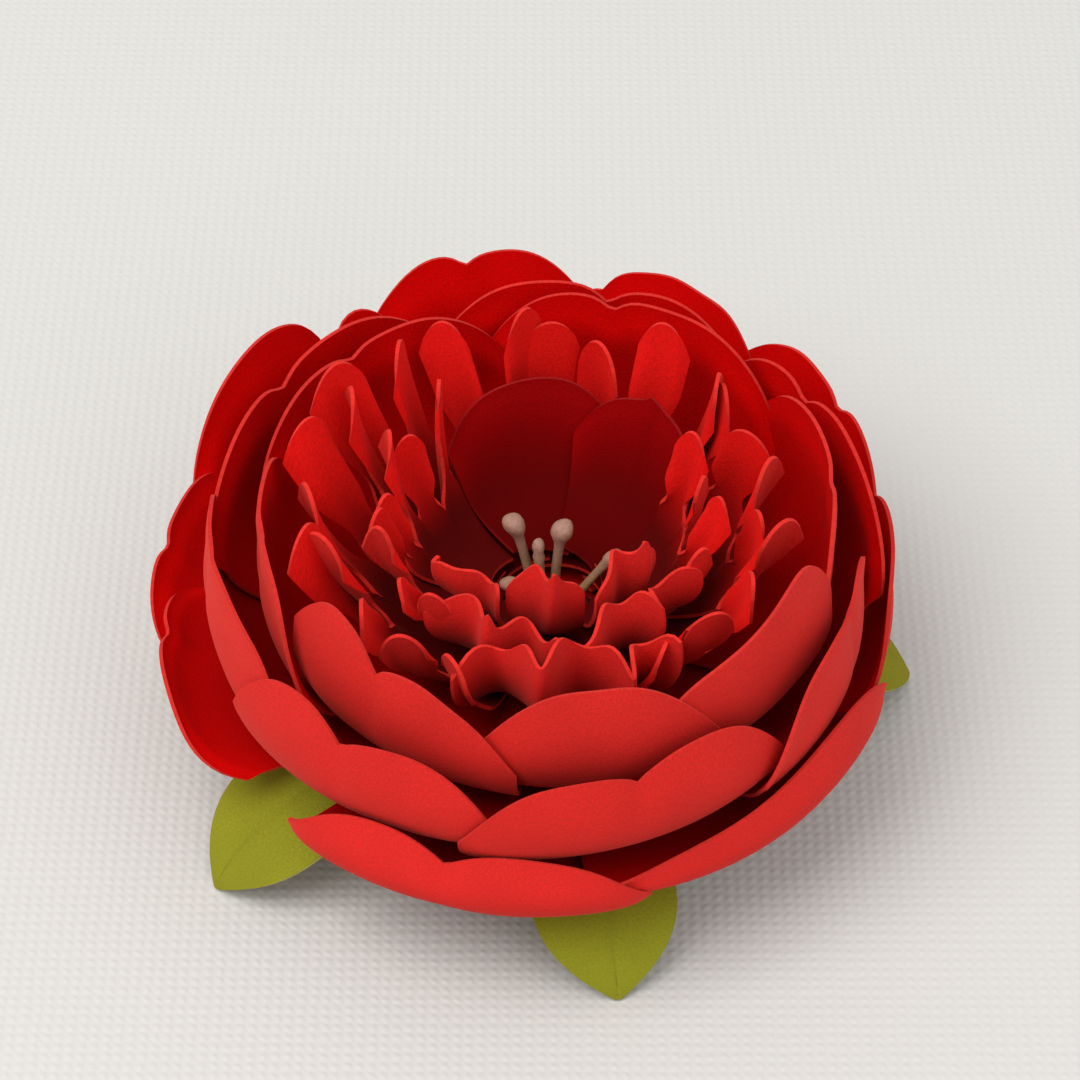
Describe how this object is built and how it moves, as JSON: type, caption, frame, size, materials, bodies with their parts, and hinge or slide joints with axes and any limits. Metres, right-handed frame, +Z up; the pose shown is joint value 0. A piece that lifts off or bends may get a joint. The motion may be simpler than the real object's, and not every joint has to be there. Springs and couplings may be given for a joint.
{
  "type": "flower hair clip",
  "caption": "Pressed cloth peony with layered cup petals, ruffled middle, stamens and leaves, glued on felt to a flat sprung hair clip that opens by its lever.",
  "frame": {"origin": "under the middle of the whole, on the surface that it stands on: the leaf tips and the lever's end rest on z = 0", "axes": "+Z up, out of the open flower; -Y is the flower's front, where the outermost petals are lowest; +X is to the right seen from the front. The clip lies along the direction 140 degrees round from the front towards -X, lever end at the back left"},
  "size_m": [0.064, 0.061, 0.028],
  "materials": {
    "petal_cloth": "matt red pressed cloth with a fine weave and a pale haze",
    "ruffle_cloth": "matt deeper red pressed cloth",
    "centre_cloth": "matt dark red pressed cloth",
    "stamen_thread": "matt waxed thread with beaded heads",
    "leaf_cloth": "matt olive green pressed cloth",
    "felt": "dense olive felt",
    "glue": "hot-melt glue",
    "clip_steel": "nickel plated stamped steel",
    "pin_steel": "plain steel rivet",
    "spring_steel": "drawn spring wire"
  },
  "bodies": {
    "flower": {"outer_petal_1": "petal_cloth", "outer_petal_2": "petal_cloth", "outer_petal_3": "petal_cloth", "outer_petal_4": "petal_cloth", "outer_petal_5": "petal_cloth", "outer_petal_6": "petal_cloth", "outer_petal_7": "petal_cloth", "outer_petal_8": "petal_cloth", "outer_petal_9": "petal_cloth", "middle_petal_1": "petal_cloth", "middle_petal_2": "petal_cloth", "middle_petal_3": "petal_cloth", "middle_petal_4": "petal_cloth", "middle_petal_5": "petal_cloth", "middle_petal_6": "petal_cloth", "middle_petal_7": "petal_cloth", "cup_petal_1": "petal_cloth", "cup_petal_2": "petal_cloth", "cup_petal_3": "petal_cloth", "cup_petal_4": "petal_cloth", "cup_petal_5": "petal_cloth", "cup_petal_6": "petal_cloth", "cup_petal_7": "petal_cloth", "outer_ruffle_1": "ruffle_cloth", "outer_ruffle_2": "ruffle_cloth", "outer_ruffle_3": "ruffle_cloth", "outer_ruffle_4": "ruffle_cloth", "outer_ruffle_5": "ruffle_cloth", "outer_ruffle_6": "ruffle_cloth", "outer_ruffle_7": "ruffle_cloth", "inner_ruffle_1": "ruffle_cloth", "inner_ruffle_2": "ruffle_cloth", "inner_ruffle_3": "ruffle_cloth", "inner_ruffle_4": "ruffle_cloth", "inner_ruffle_5": "ruffle_cloth", "front_ruffle_1": "ruffle_cloth", "front_ruffle_2": "ruffle_cloth", "front_ruffle_3": "ruffle_cloth", "centre_petal_1": "centre_cloth", "centre_petal_2": "centre_cloth", "stamen_1": "stamen_thread", "stamen_2": "stamen_thread", "stamen_3": "stamen_thread", "stamen_4": "stamen_thread", "stamen_5": "stamen_thread", "stamen_6": "stamen_thread", "leaf_1": "leaf_cloth", "leaf_2": "leaf_cloth", "leaf_3": "leaf_cloth", "leaf_4": "leaf_cloth", "leaf_5": "leaf_cloth", "felt_disc": "felt", "glue_core": "glue", "clip_strip": "clip_steel", "hinge_pin": "pin_steel", "jaw_spring": "spring_steel"},
    "jaw": {"clip_jaw": "clip_steel"}
  },
  "joints": [
    {"name": "jaw_hinge", "type": "hinge", "parent": "flower", "child": "jaw", "pos_m": [-0.00359, 0.00436, 0.0041], "axis": [0.766, 0.6428, 0], "range_deg": [0, 18], "stiffness_Nm_per_rad": 0.1, "springref_deg": -28.65, "deforming": ["jaw_spring"]}
  ]
}
